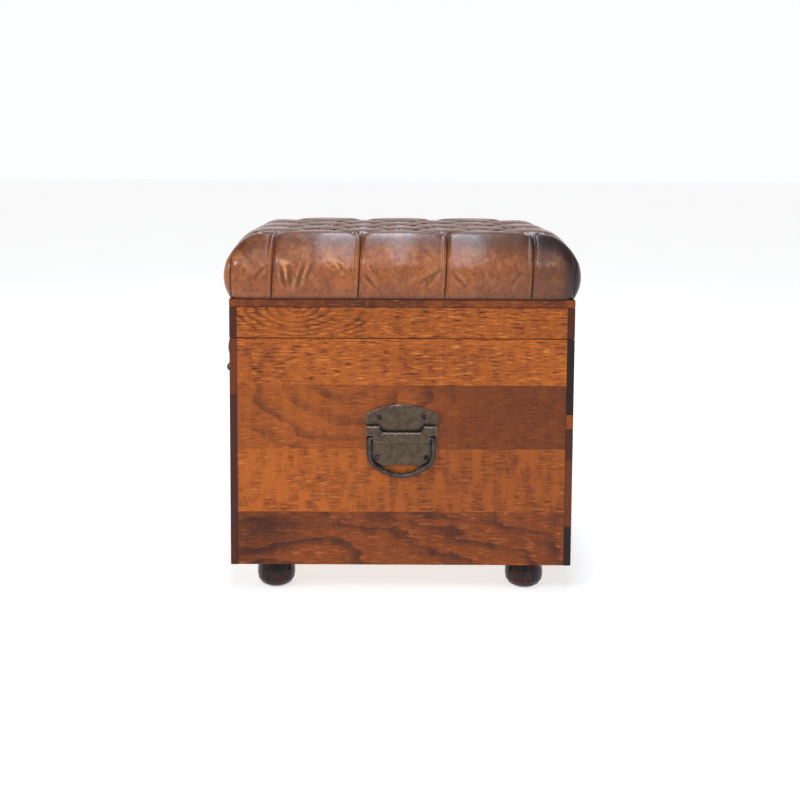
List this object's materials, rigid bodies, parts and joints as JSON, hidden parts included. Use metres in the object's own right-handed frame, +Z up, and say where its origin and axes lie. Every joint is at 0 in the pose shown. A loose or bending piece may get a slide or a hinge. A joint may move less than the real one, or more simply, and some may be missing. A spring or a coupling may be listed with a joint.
{
  "type": "storage ottoman",
  "caption": "Square hardwood storage ottoman on bun feet: hinged lid with a tufted leather seat, lid stay, trunk handles with swinging bails, and a hasp.",
  "frame": {"origin": "on the floor, under the centre of the whole object's bounding box", "axes": "+Z up; -Y is the front, with the hasp; +Y is the back, with the hinges; +X and -X are the ends with the handles"},
  "size_m": [0.4406, 0.457, 0.4524],
  "materials": {
    "orange_wood": "lacquered, orange-brown, figured",
    "board_wood": "lacquered, darker edge grain",
    "dark_wood": "near-black stained, glossy",
    "ply": "plain board",
    "leather": "aged brown leather, waxed sheen",
    "iron": "antique dark iron, rubbed edges",
    "dark_iron": "blackened",
    "brass": "dull brass"
  },
  "bodies": {
    "box": {"base_board": "ply", "box_back": "orange_wood", "box_front": "orange_wood", "box_left": "orange_wood", "box_right": "orange_wood", "foot_back_left": "dark_wood", "foot_back_right": "dark_wood", "foot_front_left": "dark_wood", "foot_front_right": "dark_wood", "handle_left_hood": "iron", "handle_left_plate": "iron", "handle_left_screw_1": "dark_iron", "handle_left_screw_2": "dark_iron", "handle_left_screw_3": "dark_iron", "handle_left_screw_4": "dark_iron", "handle_right_hood": "iron", "handle_right_plate": "iron", "handle_right_screw_1": "dark_iron", "handle_right_screw_2": "dark_iron", "handle_right_screw_3": "dark_iron", "handle_right_screw_4": "dark_iron", "hasp_staple": "iron", "hasp_staple_screw_1": "dark_iron", "hasp_staple_screw_2": "dark_iron", "hinge_left_box_leaf": "iron", "hinge_left_box_screw_1": "dark_iron", "hinge_left_box_screw_2": "dark_iron", "hinge_left_pin": "iron", "hinge_right_box_leaf": "iron", "hinge_right_box_screw_1": "dark_iron", "hinge_right_box_screw_2": "dark_iron", "hinge_right_pin": "iron", "stay_guide": "brass", "stay_thumbscrew": "brass"},
    "lid": {"hasp_lid_plate": "iron", "hasp_lid_screw_1": "dark_iron", "hasp_lid_screw_2": "dark_iron", "hasp_pin": "iron", "hinge_left_lid_leaf": "iron", "hinge_left_lid_screw_1": "dark_iron", "hinge_left_lid_screw_2": "dark_iron", "hinge_right_lid_leaf": "iron", "hinge_right_lid_screw_1": "dark_iron", "hinge_right_lid_screw_2": "dark_iron", "lid_back": "orange_wood", "lid_board": "board_wood", "lid_front": "orange_wood", "lid_left": "orange_wood", "lid_right": "orange_wood", "seat_cushion": "leather", "stay_arm": "iron", "stay_arm_screw_1": "dark_iron", "stay_arm_screw_2": "dark_iron"},
    "bail_right": {"handle_right_bail": "iron"},
    "bail_left": {"handle_left_bail": "iron"},
    "hasp_leaf": {"hasp_leaf": "iron"}
  },
  "joints": [
    {"name": "lid_hinge", "type": "hinge", "parent": "box", "child": "lid", "pos_m": [0, 0.2241, 0.3244], "axis": [-1, 0, 0], "range_deg": [0, 74]},
    {"name": "bail_right_swing", "type": "hinge", "parent": "box", "child": "bail_right", "pos_m": [0.2154, 0.0105, 0.203], "axis": [0, -1, 0], "range_deg": [0, 90]},
    {"name": "bail_left_swing", "type": "hinge", "parent": "box", "child": "bail_left", "pos_m": [-0.2154, 0.0105, 0.203], "axis": [0, 1, 0], "range_deg": [0, 90]},
    {"name": "hasp_swing", "type": "hinge", "parent": "lid", "child": "hasp_leaf", "pos_m": [0, -0.2057, 0.3306], "axis": [-1, 0, 0], "range_deg": [0, 100]}
  ]
}
